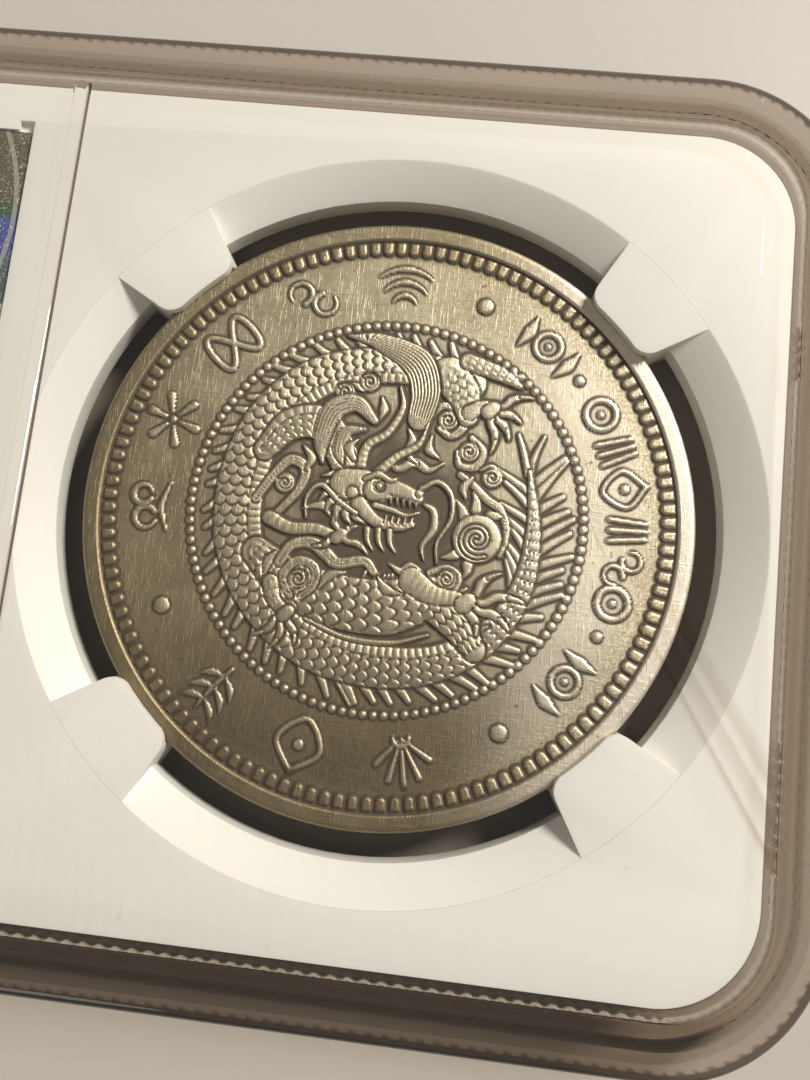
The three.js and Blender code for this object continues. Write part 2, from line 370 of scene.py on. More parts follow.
def toneSilver():
    # worn silver: bright where it stands proud, brown in the recesses, with a warm mottled border; painted
    # shade to the lower left, bottom and top, and painted highlights on the right side and its rim
    paint = Paint("coinSilver")
    where = paint.place()
    x = paint.split(where, "X")
    y = paint.split(where, "Y") - coinMiddle.y
    radius = paint.fromCoin(where)
    recess = paint.attribute("recess")
    deep = paint.ramp(recess, 0.08, 0.75)
    fieldHeight = (coinHigh.z - coinLow.z) / 2 - coinDrop * mm
    heightOver = paint.away(paint.split(where, "Z") - coinMiddle.z) - fieldHeight
    proud = paint.ramp(heightOver, 0.00003, 0.00013)
    patches = paint.ramp(paint.noise(where, 260.0, 4.0, 0.6, 0.4), 0.38, 0.66)
    grime = paint.ramp(paint.noise(where, 1500.0, 4.0, 0.65), 0.35, 0.75)
    bloom = paint.ramp(paint.noise(where, 2400.0, 6.0, 0.8), 0.42, 0.62)
    # painted shade to the lower left, the bottom and the top, and a painted highlight to the right, for the
    # way the light falls
    paintedShadeLowerLeft = paint.ramp(y * 0.6 - x * 0.8, -0.013, 0.011)
    paintedShadeBottom = paint.ramp(0.0 - x, 0.003, 0.016)
    paintedShadeTop = paint.ramp(x, 0.006, 0.016)
    paintedLightRight = paint.ramp(0.0 - y, 0.004, 0.015)
    withinBorder = paint.ramp(radius, 0.0165, 0.0160)
    # grime round the toothed border, kept off the right side that the light falls on, so partly painted
    # shade; then a painted highlight on the rim's lit right side
    rimGrimeAndShade = paint.ramp(radius, 0.0164, 0.0172) * (1 - 0.85 * paintedLightRight) * (0.45 + 0.45 * patches)
    paintedRimHighlight = paintedLightRight * paint.ramp(radius, 0.0179, 0.0182) * (0.75 - 0.45 * bloom)
    # the coats of tone on the metal, one over another; some are painted shade and painted highlights that
    # stand for the light
    coats = (
        (patches, "pale"),
        (paintedShadeLowerLeft * 0.85, "paintedShadeLowerLeft"),
        (paintedShadeBottom * 0.84, "paintedShadeBottom"),
        (paintedShadeTop * 0.42, "paintedShadeTop"),
        (bloom * 0.42, "bloom"),
        (paintedLightRight * 0.75, "paintedLightRight"),
        (proud * withinBorder * 0.35, "proud"),
        (rimGrimeAndShade, "rimGrimeAndShade"),
        (paintedRimHighlight, "paintedRimHighlight"),
    )
    field = silverTone["worn"]
    for amount, tone in coats:
        field = paint.blend(amount, field, silverTone[tone])
    border = paint.ramp(radius, 0.0140, 0.0172) - paint.ramp(radius, 0.0178, 0.0181)
    warmSide = paint.ramp(x * 0.15 - y, -0.002, 0.017)
    speckle = paint.ramp(paint.noise(where, 5200.0, 3.0, 0.7), 0.47, 0.56)
    golden = paint.blend(speckle, silverTone["goldDark"], silverTone["goldLight"])
    field = paint.blend(border * warmSide * 0.55, field, golden)
    # old tarnish lies thickest on the low ground in the middle of the design
    brown = paint.blend(grime, silverTone["tarnish"], silverTone["tarnishPale"])
    stained = paint.ramp(radius + 0.006 * (paint.noise(where, 420.0, 4.0, 0.6) - 0.5), 0.0085, 0.0035)
    low = paint.larger(deep, (1 - proud) * stained * 0.96)
    colour = paint.blend(low * (0.88 + 0.12 * grime), field, brown)
    spots = paint.ramp(paint.noise(where, 1900.0, 2.0, 0.5), 0.70, 0.75)
    colour = paint.blend(spots * 0.6, colour, silverTone["spot"])
    # fine wear in two directions
    hair = paint.noise(paint.stretched(where, (700.0, 13000.0, 700.0), 1.1), 1.0, 2.0)
    lines = paint.noise(paint.stretched(where, (12000.0, 450.0, 450.0), 0.5), 1.0, 2.0)
    marks = paint.larger(paint.ramp(hair, 0.56, 0.70) * 0.7, paint.ramp(lines, 0.58, 0.71) * 0.5)
    satin = paint.noise(where, 7000.0, 3.0, 0.6)
    height = 0.7 * satin + marks * 1.9 + 1.6 * paint.noise(where, 2600.0, 4.0, 0.65)
    inputs = {
        "Base Color": colour,
        "Metallic": 1.0 - 0.55 * low,
        "Roughness": silverTone["roughness"] + 0.06 * patches + 0.2 * low - 0.08 * marks,
        "Normal": paint.bump(height, silverTone["bumpDistance"], 0.8),
    }
    return paint.finish(paint.node("BsdfPrincipled", None, inputs))


labelShape = {
    "greenAt": 17.4,
    "blueAt": 16.6,
    "blueEnd": 14.2,
    "lineSpacing": 0.42,
    "middle": 23.75,
    "frameReach": (22.0, 12.3),  # half the printed frame, across and along
    "frameWidth": 0.16,
    "arcCentre": (17.0, 24.0),
    "arcSpacing": 1.6,
    "card": (0.86, 0.84, 0.76),
    "cardFibre": (0.80, 0.785, 0.71),
    "waveInk": (0.36, 0.44, 0.50),
    "frameInk": (0.30, 0.36, 0.40),
    "olive": ((0.115, 0.105, 0.06), (0.33, 0.30, 0.20)),
    "green": (0.05, 0.22, 0.11),
    "blue": (0.13, 0.15, 0.50),
    "grey": (0.16, 0.20, 0.21),
    "glitter": (0.84, 0.86, 0.78),
    "arc": (0.75, 0.76, 0.70),
}


def cardPaper():
    # coated card with a pale pattern of crossing waves inside a fine frame
    paint = Paint("labelCard")
    where = paint.place()
    x = paint.split(where, "X") / mm
    y = paint.split(where, "Y") / mm
    fibre = paint.noise(where, 2400.0, 4.0, 0.6)
    colour = paint.blend(paint.ramp(fibre, 0.35, 0.7), labelShape["card"], labelShape["cardFibre"])
    spread = 2 * math.pi / labelShape["lineSpacing"]
    sway = paint.sum("SINE", y * 1.1, 0.0)
    first = paint.sum("SINE", (x + 0.9 * sway) * spread, 0.0)
    second = paint.sum("SINE", (x - 0.9 * sway) * spread, 0.0)
    waves = paint.larger(paint.ramp(first, 0.8, 0.95), paint.ramp(second, 0.8, 0.95))
    colour = paint.blend(waves * 0.16, colour, labelShape["waveInk"])
    across, along = labelShape["frameReach"]
    fromEdge = paint.larger(paint.away(x) - across, paint.away(y - labelShape["middle"]) - along)
    past = labelShape["frameWidth"]
    frameLine = paint.ramp(fromEdge, 0.0, 0.06) - paint.ramp(fromEdge, past, past + 0.06)
    colour = paint.blend(frameLine * 0.6, colour, labelShape["frameInk"])
    normal = paint.bump(fibre, 0.00001, 0.4)
    inputs = {"Base Color": colour, "Roughness": 0.38 + 0.15 * fibre, "Normal": normal}
    return paint.finish(paint.node("BsdfPrincipled", None, inputs))


def rainbowFoil():
    # hot-stamped foil: olive, then green, blue and grey bands, with a fine glitter and embossed arcs
    paint = Paint("labelFoil")
    where = paint.place()
    across = paint.away(paint.split(where, "X") / mm)
    y = paint.split(where, "Y") / mm
    drift = across + 1.4 * (paint.noise(where, 160.0, 3.0, 0.6) - 0.5)
    olive = paint.blend(paint.noise(where, 1300.0, 4.0, 0.7), *labelShape["olive"])
    green = paint.ramp(drift, labelShape["greenAt"] + 0.9, labelShape["greenAt"])
    colour = paint.blend(green * 0.7, olive, labelShape["green"])
    blue = paint.ramp(drift, labelShape["blueAt"] + 0.5, labelShape["blueAt"])
    colour = paint.blend(blue, colour, labelShape["blue"])
    beyond = paint.ramp(drift, labelShape["blueEnd"] + 0.6, labelShape["blueEnd"] - 0.4)
    colour = paint.blend(beyond, colour, labelShape["grey"])
    glitter = paint.ramp(paint.noise(where, 6000.0, 4.0, 0.8), 0.55, 0.64)
    colour = paint.blend(glitter * 0.9, colour, labelShape["glitter"])
    fromX = across - labelShape["arcCentre"][0]
    fromY = y - labelShape["arcCentre"][1]
    turns = (fromX * fromX + fromY * fromY) ** 0.5 * (2 * math.pi / labelShape["arcSpacing"])
    arcs = paint.ramp(paint.sum("SINE", turns, 0.0), 0.75, 0.9)
    colour = paint.blend(arcs * 0.6, colour, labelShape["arc"])
    normal = paint.bump(glitter + arcs, 0.00001, 0.8)
    inputs = {"Base Color": colour, "Metallic": 0.55, "Roughness": 0.34 - 0.1 * glitter, "Normal": normal}
    return paint.finish(paint.node("BsdfPrincipled", None, inputs))


materials = {"clear": clearPlastic(), "core": corePlastic(), "silver": toneSilver()}
materials["card"] = cardPaper()
materials["foil"] = rainbowFoil()
print("materials made")


def smooth(value):
    value = np.clip(value, 0, 1)
    return value * value * (3 - 2 * value)


shell = {
    "corner": 9.5,
    "edgeRound": 0.7,
    "rimWidth": 3.4,
    "paneRecess": 0.5,
    "pocketInset": 3.45,
    "seamGap": 0.1,
    "tongueOuter": 1.25,
    "tongueInner": 2.15,
    "tongueClearance": 0.1,
    "grooveDepth": 1.9,
    "toothPitch": 0.95,
    "toothHeight": 0.34,
    "toothBand": (0.42, 1.0),  # from the side, in mm
    "ribWidth": 1.05,
    "ribHeight": 0.3,
    "ribFromCoin": 22.85,
    "ribSection": (  # share of half the width, share of the height
        (0.0, 1.0), (0.35, 0.93), (0.62, 0.76), (0.8, 0.55), (0.92, 0.26),
        (0.97, -0.2), (1.02, -0.5), (1.1, -0.1), (1.15, 0.0),
    ),
    "cornerSteps": 56,
    "sharpFrom": 40.0,  # degrees
    # painted shade: how dark each part of the rim is painted, standing in for reflections and shade in the
    # thick plastic
    "rimShade": 0.36,
    "seamShade": 0.5,
    "barShade": 0.95,
    "wallShade": 0.06,
    "paintedOuterLine": 0.93,
    "tickShade": 0.8,
    "gripPitch": 0.8,
    "gripDepth": 0.32,
    "gripFrom": 1.2,  # how far up the pocket's wall the grip marks start
    "gripPlaces": ((10.5, 13.9), (-18.0, -11.0)),
}


def outlineStations():
    # points round the slab's outline as (corner centre, outward normal), anticlockwise from the lower right
    radius = shell["corner"]
    step = shell["toothPitch"] / 4
    straightX = (caseHigh.x - caseLow.x) / 2 / mm - radius
    straightY = (caseHigh.y - caseLow.y) / 2 / mm - radius
    ribY = coinMiddle.y / mm + shell["ribFromCoin"]
    half = shell["ribWidth"] / 2
    sideStops = list(np.linspace(-straightY, straightY, int(round(2 * straightY / step)) + 1))
    sideStops = [y for y in sideStops if abs(y - ribY) > half * 1.3]
    sideStops += [ribY + sign * half * share for sign in (-1, 1) for share, _ in shell["ribSection"]]
    sideStops = sorted(set(round(y, 4) for y in sideStops))
    endStops = list(np.linspace(-straightX, straightX, int(round(2 * straightX / step)) + 1))

    def corner(x, y, quarter):
        turns = [math.pi / 2 * (quarter + i / shell["cornerSteps"]) for i in range(1, shell["cornerSteps"])]
        return [((x, y), (math.cos(a), math.sin(a))) for a in turns]

    stations = [((straightX, y), (1.0, 0.0)) for y in sideStops]
    stations += corner(straightX, straightY, 0)
    stations += [((x, straightY), (0.0, 1.0)) for x in reversed(endStops)]
    stations += corner(-straightX, straightY, 1)
    stations += [((-straightX, y), (-1.0, 0.0)) for y in reversed(sideStops)]
    stations += corner(-straightX, -straightY, 2)
    stations += [((x, -straightY), (0.0, -1.0)) for x in endStops]
    stations += corner(straightX, -straightY, 3)
    return stations, len(sideStops), len(endStops)


def shellProfile(front):
    # the rim's section from the window's edge over the rim, down the side and round to the core's pocket:
    # each row is (inset, height, whether it's a tooth's row), in mm
    top = (caseHigh.z - rearLow.z) / mm
    middle = top / 2
    seam = middle + shell["seamGap"] / 2
    pane = top - shell["paneRecess"]
    under = coreHigh.z / mm + 0.1  # a little air over the core
    r = shell["edgeRound"]
    inner = shell["rimWidth"]
    rows = [(inner + 0.16, pane, 0), (inner + 0.05, pane + 0.03, 0), (inner + 0.01, pane + 0.12, 0)]
    rows += [(inner - 0.02, top - 0.2, 0), (inner - 0.06, top - 0.08, 0), (inner - 0.15, top - 0.01, 0)]
    rows += [(inner - 0.28, top, 0), (r + 0.32, top, 0), (r + 0.2, top, 0)]
    for i in range(7):
        a = math.pi / 2 * i / 6
        rows.append((r * (1 - math.sin(a)), top - r * (1 - math.cos(a)), 0))
    rows.append((0.0, top - r - 0.3, 0))
    outside = [(0.0, seam + 0.12, 0), (0.06, seam + 0.02, 0), (0.22, seam, 0)]
    near, far = shell["toothBand"]
    teeth = [(near - 0.08, seam, 0), (near, seam, 1), (far, seam, 1), (far + 0.08, seam, 0)]
    groove = shell["grooveDepth"]
    if front:
        mouth = [(shell["tongueOuter"], seam, 0), (shell["tongueOuter"], seam + groove, 0)]
        mouth += [(shell["tongueInner"], seam + groove, 0), (shell["tongueInner"], seam, 0)]
    else:
        reach = seam - shell["seamGap"] - groove + shell["tongueClearance"]
        outer = shell["tongueOuter"] + shell["tongueClearance"]
        inside = shell["tongueInner"] - shell["tongueClearance"]
        mouth = [(outer, seam, 0), (outer, reach + 0.1, 0), (outer + 0.1, reach, -1)]
        mouth += [(inside - 0.1, reach, -1), (inside, reach + 0.1, 0), (inside, seam, 0)]
    pocket = [(shell["pocketInset"] - 0.1, seam, 0), (shell["pocketInset"], seam + 0.1, 0)]
    pocket += [(shell["pocketInset"], seam + 1.1, 0), (shell["pocketInset"], seam + 1.2, 0)]
    pocket += [(shell["pocketInset"], under - 0.12, 0), (shell["pocketInset"] + 0.12, under, 0)]
    return rows + outside + teeth + mouth + pocket


def toothWave(distance):
    # flat-topped teeth along the seam
    share = (distance / shell["toothPitch"]) % 1
    return float(smooth((0.36 - abs(share - 0.5)) / 0.2))


def paintedEdgeShade(inset, depth, tooth, wave):
    # how much painted shade the plastic gets at a point of the rim's section, in place of the dark
    # reflections and shade in the thick plastic
    # painted shade: darker between the seam's teeth, along the seam, on a line at the outer edge and over
    # the rim
    if tooth:
        return shell["seamShade"] + 0.5 * (1 - wave)
    if inset < 0.1 and depth > shell["edgeRound"] + 0.2:
        return shell["wallShade"]  # the outer wall stays clear
    if depth > 3:
        return shell["seamShade"]
    edge = shell["paintedOuterLine"] * float(smooth((shell["edgeRound"] + 0.25 - inset) / 0.25))
    # painted light and shade in a row of ticks just inside the outer line, in place of the glints of the
    # seam's teeth
    tick = shell["tickShade"] * wave if abs(inset - shell["edgeRound"] - 0.15) < 0.12 else 0.0
    return max(edge, tick, shell["rimShade"] if inset < shell["rimWidth"] else 0.0)


def buildShell(name, front):
    stations, sideCount, endCount = outlineStations()
    profile = shellProfile(front)
    radius = shell["corner"]
    vertices = []
    shades = []
    columns = len(profile)
    top = (caseHigh.z - rearLow.z) / mm
    rise = top / 2 + shell["gripFrom"]
    distance = 0.0
    before = None
    for (bx, by), (nx, ny) in stations:
        here = Vector((bx + nx * radius, by + ny * radius))
        distance += (here - before).length if before else 0.0
        before = here
        wave = toothWave(distance)
        grip = 0.0
        if ny < -0.99 and any(low < bx < high for low, high in shell["gripPlaces"]):
            grip = shell["gripDepth"] * smooth(1.6 - 3 * abs((bx / shell["gripPitch"]) % 1 - 0.5))
        if nx < -0.99:
            grip = shell["gripDepth"] * 0.5 * wave
        for inset, height, tooth in profile:
            onWall = inset >= shell["pocketInset"] - 0.11 and height > rise
            notch = grip if onWall else 0.0
            reach = radius - inset + notch
            z = height + tooth * wave * shell["toothHeight"]
            vertices.append((bx + nx * reach, by + ny * reach, z))
            # painted shade: the grip notches on the pocket's wall are painted darker as well
            shades.append(min(1.0, paintedEdgeShade(inset, top - height, tooth, wave) + 2.5 * notch))
    count = len(stations)
    faces = []
    for k in range(count):
        following = (k + 1) % count
        for j in range(columns - 1):
            a = k * columns + j
            b = k * columns + j + 1
            c = following * columns + j + 1
            d = following * columns + j
            faces.append((a, b, c, d))
    windowLoop = [k * columns for k in range(count)]
    pocketLoop = [k * columns + columns - 1 for k in range(count)]
    faces.append(tuple(reversed(pocketLoop)))
    faces += windowFaces(vertices, shades, windowLoop, sideCount, endCount)
    points = np.array(vertices)
    if not front:
        points[:, 2] = top - points[:, 2]
        faces = [tuple(reversed(face)) for face in faces]
    mesh = bpy.data.meshes.new(name)
    mesh.from_pydata((points * mm).tolist(), [], faces)
    mesh.materials.append(materials["clear"])
    mesh.shade_smooth()
    mesh.set_sharp_from_angle(angle=math.radians(shell["sharpFrom"]))
    mesh.attributes.new("paintedEdgeShade", "FLOAT", "POINT").data.foreach_set("value", shades)
    for polygon in mesh.polygons:
        if polygon.area > 200 * mm * mm:
            polygon.use_smooth = False  # the flat windows keep flat shading right up to their fillet
    piece = addObject(name, mesh)
    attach(piece, "slab")
    return piece


def windowFaces(vertices, shades, loop, sideCount, endCount):
    # the window's outer face: two flat fields and the bar between them, as strips from side to side
    ribY = coinMiddle.y / mm + shell["ribFromCoin"]
    half = shell["ribWidth"] / 2
    cornerCount = shell["cornerSteps"] - 1
    right = loop[0:sideCount]
    leftStart = sideCount + cornerCount + endCount + cornerCount
    left = list(reversed(loop[leftStart:leftStart + sideCount]))
    inBar = [i for i in range(sideCount) if abs(vertices[right[i]][1] - ribY) < half * 1.2]
    for i in inBar:
        away = abs(vertices[right[i]][1] - ribY) / half
        lift = shell["ribHeight"] * np.interp(away, *zip(*shell["ribSection"]))
        for vertex in (right[i], left[i]):
            x, y, z = vertices[vertex]
            vertices[vertex] = (x, y, z + lift)
            # painted shade: dark lines painted along the bar's sides, in place of the reflections on its
            # steep flanks
            shades[vertex] = shell["barShade"] * float(smooth(1.25 - abs(away - 0.94) / 0.14))
    first = inBar[0]
    last = inBar[-1]
    faces = []
    for i in range(first, last):
        faces.append((right[i], right[i + 1], left[i + 1], left[i]))
    upper = loop[last:leftStart + sideCount - last]
    lower = loop[leftStart + sideCount - 1 - first:] + loop[:first + 1]
    faces.append(tuple(upper))
    faces.append(tuple(lower))
    return faces


frontShell = buildShell("frontShell", True)
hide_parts("front_shell")
rearShell = buildShell("rearShell", False)
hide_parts("rear_shell")
print("shells built", len(frontShell.data.polygons), len(rearShell.data.polygons))


def buildCore():
    # the moulding with its sharp edges eased, as it comes out of the tool
    work = bmesh.new()
    work.from_mesh(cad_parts["core"].data)
    bmesh.ops.remove_doubles(work, verts=work.verts, dist=0.002 * mm)
    bmesh.ops.dissolve_limit(work, angle_limit=math.radians(0.6), verts=work.verts, edges=work.edges)
    mesh = bpy.data.meshes.new("whiteCore")
    work.to_mesh(mesh)
    work.free()
    mesh.materials.clear()
    mesh.materials.append(materials["core"])
    piece = addObject("whiteCore", mesh)
    ease = piece.modifiers.new("ease", "BEVEL")
    ease.width = coreShape["edgeRound"] * mm
    ease.segments = coreShape["roundSteps"]
    ease.limit_method = "ANGLE"
    ease.angle_limit = math.radians(25)
    bpy.context.view_layer.update()
    depsgraph = bpy.context.evaluated_depsgraph_get()
    eased = bpy.data.meshes.new_from_object(piece.evaluated_get(depsgraph), depsgraph=depsgraph)
    piece.modifiers.clear()
    piece.data = eased
    eased.shade_smooth()
    eased.set_sharp_from_angle(angle=math.radians(35))
    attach(piece, "slab")
    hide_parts("core")
    return piece


whiteCore = buildCore()
print("core built", len(whiteCore.data.polygons))


def dressNode(name, material):
    # a piece that keeps its plain shape takes its finish here
    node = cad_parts[name]
    node.data.materials.clear()
    node.data.materials.append(material)


for side in ("front", "rear"):
    dressNode(side + "_label", materials["card"])
    dressNode(side + "_foil", materials["foil"])
print("labels dressed")


coinLook = {
    "designTurn": -90.0,  # degrees from the part's x axis to the design's level line
    "gridStep": 0.04,
    "rimInner": 17.97,
    "rimRound": 0.1,
    "edgeBreak": 0.26,
    "reeds": 200,
    "reedDepth": 0.1,
    "denticles": 130,
    "denticleInner": 16.98,
    "denticleOuter": 17.86,
    "denticleShare": 0.77,  # of the pitch
    "denticleHeight": 0.2,
    "beads": 122,
    "beadCircle": 12.25,
    "beadRadius": 0.275,
    "beadHeight": 0.17,
    "strokeEdge": 0.07,
    "figureHeight": 0.1,
    "frontSpokes": ((1.4, 12), (3.2, 6), (6.6, 2)),  # inside this radius only one spoke in so many
    "backSpokes": ((3.2, 12), (6.6, 4), (16.7, 2)),
    "groove": 0.65,  # how deeply a stroke cuts away what lies round it
    "spokes": 1008,
}


def curveThrough(points, halves, step=0.12):
    # a soft curve through given points, with the half width at each sample
    points = np.array(points, float)
    halves = np.atleast_1d(halves)
    halves = np.interp(np.linspace(0, 1, len(points)), np.linspace(0, 1, len(halves)), halves)
    if len(points) < 3:
        count = max(2, int(np.linalg.norm(points[-1] - points[0]) / step) + 1)
        share = np.linspace(0, 1, count)
        line = points[0] + share[:, None] * (points[-1] - points[0])
        return line, np.interp(share, (0, 1), (halves[0], halves[-1]))
    ends = np.vstack((2 * points[0] - points[1], points, 2 * points[-1] - points[-2]))
    path = []
    widths = []
    for i in range(len(points) - 1):
        before, start, end, after = ends[i:i + 4]
        count = max(2, int(np.linalg.norm(end - start) / step) + 1)
        for t in np.linspace(0, 1, count, endpoint=False):
            curve = 2 * start + (end - before) * t + (2 * before - 5 * start + 4 * end - after) * t ** 2
            curve = curve + (3 * start - before - 3 * end + after) * t ** 3
            path.append(curve / 2)
            widths.append(halves[i] + (halves[i + 1] - halves[i]) * t)
    path.append(points[-1])
    widths.append(halves[-1])
    return np.array(path), np.array(widths)


class Relief:
    # the struck design's height over the coin's field, on a square grid, in mm
    def __init__(self, reach):
        self.reach = reach
        self.axis = np.linspace(-reach, reach, int(2 * reach / coinLook["gridStep"]) + 1)
        self.step = self.axis[1] - self.axis[0]
        self.height = np.zeros((len(self.axis), len(self.axis)))

    def span(self, low, high):
        first = int(np.clip((low + self.reach) / self.step, 0, len(self.axis) - 1))
        last = int(np.clip((high + self.reach) / self.step + 2, 1, len(self.axis)))
        return first, last

    def trace(self, path, half, margin):
        low = path.min(0) - half.max() - margin
        high = path.max(0) + half.max() + margin
        x0, x1 = self.span(low[0], high[0])
        y0, y1 = self.span(low[1], high[1])
        shape = (y1 - y0, x1 - x0)
        near = np.full(shape, 9.0)
        gap = np.full(shape, 9.0)
        along = np.zeros(shape)
        side = np.zeros(shape)
        travelled = 0.0
        for i in range(len(path) - 1):
            a = path[i]
            b = path[i + 1]
            reach = max(half[i], half[i + 1]) + margin
            u0, u1 = self.span(min(a[0], b[0]) - reach, max(a[0], b[0]) + reach)
            v0, v1 = self.span(min(a[1], b[1]) - reach, max(a[1], b[1]) + reach)
            x, y = np.meshgrid(self.axis[u0:u1] - a[0], self.axis[v0:v1] - a[1])
            run = b - a
            length = max(np.hypot(*run), 1e-6)
            share = np.clip((x * run[0] + y * run[1]) / length ** 2, 0, 1)
            across = (run[0] * y - run[1] * x) / length
            away = np.hypot(x - share * run[0], y - share * run[1])
            wide = half[i] + (half[i + 1] - half[i]) * share
            here = (slice(v0 - y0, v1 - y0), slice(u0 - x0, u1 - x0))
            closer = away < near[here]
            near[here] = np.where(closer, away, near[here])
            gap[here] = np.where(closer, away - wide, gap[here])
            along[here] = np.where(closer, travelled + share * length, along[here])
            side[here] = np.where(closer, np.sign(across) * away / wide, side[here])
            travelled += length
        return gap, along, side, (slice(y0, y1), slice(x0, x1))

    def stroke(self, points, halves, lift, crown, pattern=None, moat=0.12, blunt=2.0):
        # a raised line of changing width, rounded across, with a shallow moat round it
        edge = coinLook["strokeEdge"]
        path, half = curveThrough(points, halves, 0.06 if pattern else 0.12)
        gap, along, side, window = self.trace(path, half, moat + edge)
        inside = smooth((edge / 2 - gap) / edge)
        top = lift + crown * np.sqrt(np.clip(1 - np.abs(side) ** blunt, 0, 1))
        if pattern:
            top = top + pattern(along, side)
        near = np.where(gap > 0, smooth(1 - gap / moat), 0)
        area = self.height[window]
        area *= 1 - coinLook["groove"] * near
        area[:] = area * (1 - inside) + top * inside

    def ball(self, x, y, radius, lift, crown):
        self.stroke([(x, y), (x + 0.01, y)], radius, lift, crown)

    def sample(self, grid, x, y):
        u = np.clip((x + self.reach) / self.step, 0, len(self.axis) - 1.001)
        v = np.clip((y + self.reach) / self.step, 0, len(self.axis) - 1.001)
        i = u.astype(int)
        j = v.astype(int)
        u = u - i
        v = v - j
        low = grid[j, i] * (1 - u) + grid[j, i + 1] * u
        high = grid[j + 1, i] * (1 - u) + grid[j + 1, i + 1] * u
        return low * (1 - v) + high * v


def scales(pitch, rows, rise):
    def pattern(along, side):
        u = along / pitch
        v = side * rows
        top = np.zeros_like(u)
        for ahead in (1, 0, -1):
            row = np.floor(u) + ahead
            shift = 0.5 * (row % 2)
            out = u - row
            across = v - shift - np.round(v - shift)
            away = np.hypot(out, across * 1.75)
            lift = rise * (0.3 + 0.7 * smooth((out + 0.3) / 1.1)) - 0.2 * rise * (across * 2) ** 2
            inside = smooth((1.02 - away) / 0.2)
            top = (top - 0.6 * rise * smooth(1 - np.abs(away - 1.06) / 0.2)) * (1 - inside) + lift * inside
        return top
    return pattern


def bodySkin(pitch, rows, rise):
    # scales over the back and cross plates along the belly
    scaled = scales(pitch, rows, rise)

    def pattern(along, side):
        plates = rise * np.abs(np.cos(math.pi * along / (pitch * 0.8))) ** 0.5
        belly = smooth((side - 0.42) / 0.06)
        line = smooth(1 - np.abs(side - 0.42) / 0.08)
        return scaled(along, side) * (1 - belly) + plates * belly - 0.05 * line
    return pattern


def strands(count, rise):
    def pattern(along, side):
        return rise * (np.abs(np.cos(math.pi * side * count / 2)) - 0.75)
    return pattern


def rings(pitch, rise=0.03):
    def pattern(along, side):
        return rise * (np.abs(np.sin(math.pi * along / pitch)) ** 0.6 - 0.6)
    return pattern


def spines(relief, points, start, end, spacing, length, reach, lean, outward=-1, half=0.14):
    # a row of short spines standing out from one side of a curved body
    path, _ = curveThrough(points, 0.1)
    steps = np.hypot(*np.diff(path, axis=0).T)
    along = np.concatenate(([0.0], np.cumsum(steps)))
    for where in np.arange(start * along[-1], end * along[-1], spacing):
        share = where / along[-1]
        x = np.interp(where, along, path[:, 0])
        y = np.interp(where, along, path[:, 1])
        ahead = min(where + 0.1, along[-1])
        dx = np.interp(ahead, along, path[:, 0]) - np.interp(ahead - 0.1, along, path[:, 0])
        dy = np.interp(ahead, along, path[:, 1]) - np.interp(ahead - 0.1, along, path[:, 1])
        size = math.hypot(dx, dy)
        dx, dy = dx / size, dy / size
        out = np.array((-dy, dx)) * outward
        forward = np.array((dx, dy)) * lean * rng.uniform(0.6, 1.3)
        long = np.interp(share, (start, end), length) * rng.uniform(0.7, 1.12)
        base = np.interp(share, (start, end), reach)
        foot = np.array((x, y)) + out * base * 0.75
        tip = np.array((x, y)) + (out + forward * 0.8) * (base + long)
        bend = (foot + tip) / 2 + forward * 0.05
        relief.stroke([foot, bend, tip], (half * 1.15, half, half * 0.75), 0.08, 0.06)


def claw(relief, palm, toes, half=0.3):
    # a foot: a broad palm with thick toes that swell at the knuckle and end in hooked nails
    palm = np.array(palm)
    for toe in toes:
        run = np.array(toe) - palm
        bend = np.array((-run[1], run[0])) * 0.1
        first, second, third = (palm + run * share for share in (0.3, 0.52, 0.74))
        finger = [palm, first, second + bend, third + bend]
        relief.stroke(finger, (half, half * 0.7, half * 0.86, half * 0.62), 0.15, 0.09, moat=0.18)
        nail = [third + bend, palm + run * 0.9 + bend * 0.5, toe]
        relief.stroke(nail, (half * 0.5, half * 0.42, half * 0.12), 0.13, 0.07, moat=0.14)
    relief.stroke([palm - 0.15, palm + 0.15], (half * 1.5, half * 1.4), 0.17, 0.09)


